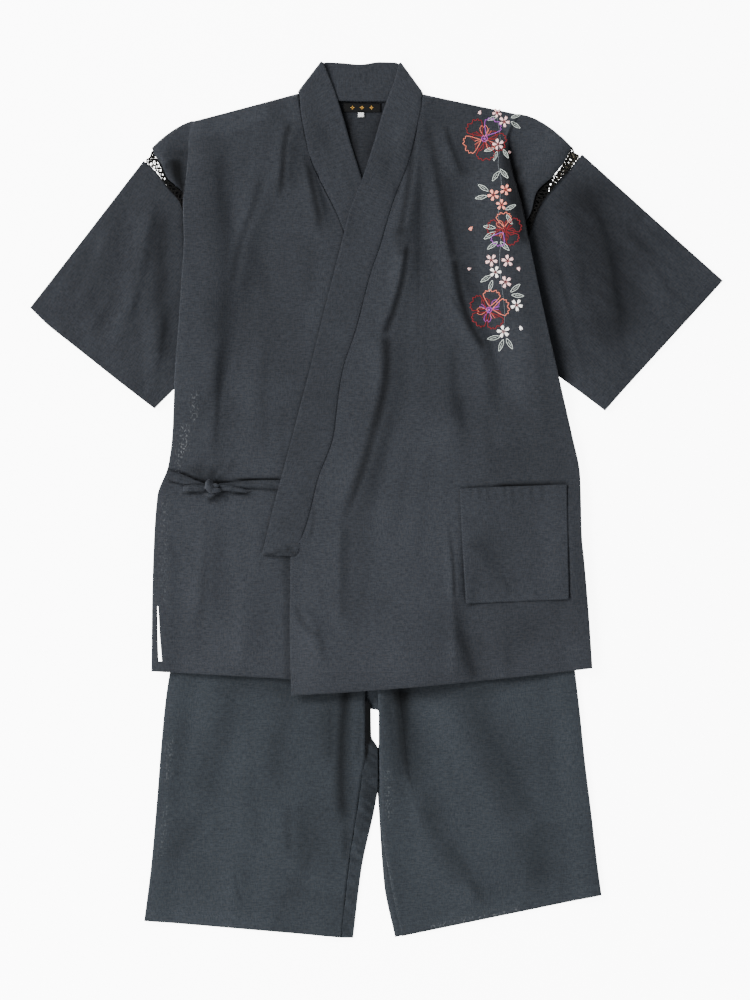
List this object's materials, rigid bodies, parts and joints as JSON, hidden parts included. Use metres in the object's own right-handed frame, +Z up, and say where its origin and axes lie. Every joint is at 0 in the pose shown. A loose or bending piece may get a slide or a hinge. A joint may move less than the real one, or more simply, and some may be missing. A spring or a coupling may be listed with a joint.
{
  "type": "jinbei set laid flat",
  "caption": "Flat-laid summer set: short wrapped jacket with openwork armholes, side tie and patch pocket over matching loose shorts.",
  "frame": {"origin": "floor level under the centre of the laid-out set's bounding box", "axes": "+Z up off the floor, +Y from the shorts' hems towards the collar, +X towards the wearer's left"},
  "size_m": [0.8662, 1.0944, 0.0335],
  "materials": {
    "jacket_cloth": "matt navy-grey crepe with a fine uneven crinkle",
    "shorts_cloth": "the same matt crepe, a little bluer",
    "lace": "black twisted cord worked in open diamonds",
    "label": "bare black woven label",
    "size_tab": "bare off-white woven tab",
    "embroidery": "raised satin stitches in coral, dark red, pale pink and grey green"
  },
  "bodies": {
    "root": {"collar_band": "jacket_cloth", "front_left": "jacket_cloth", "front_right": "jacket_cloth", "jacket_back": "jacket_cloth", "lace_back_left": "lace", "lace_back_right": "lace", "lace_front_left": "lace", "lace_front_right": "lace", "neck_label": "label", "pocket": "jacket_cloth", "shorts_back_left": "shorts_cloth", "shorts_back_right": "shorts_cloth", "shorts_front_left": "shorts_cloth", "shorts_front_right": "shorts_cloth", "size_tab": "size_tab", "sleeve_left": "jacket_cloth", "sleeve_right": "jacket_cloth", "tie_front": "jacket_cloth", "tie_knot": "jacket_cloth", "tie_side": "jacket_cloth", "tie_tail_left": "jacket_cloth", "tie_tail_right": "jacket_cloth", "waistband_back": "shorts_cloth", "waistband_front": "shorts_cloth"}
  },
  "joints": []
}
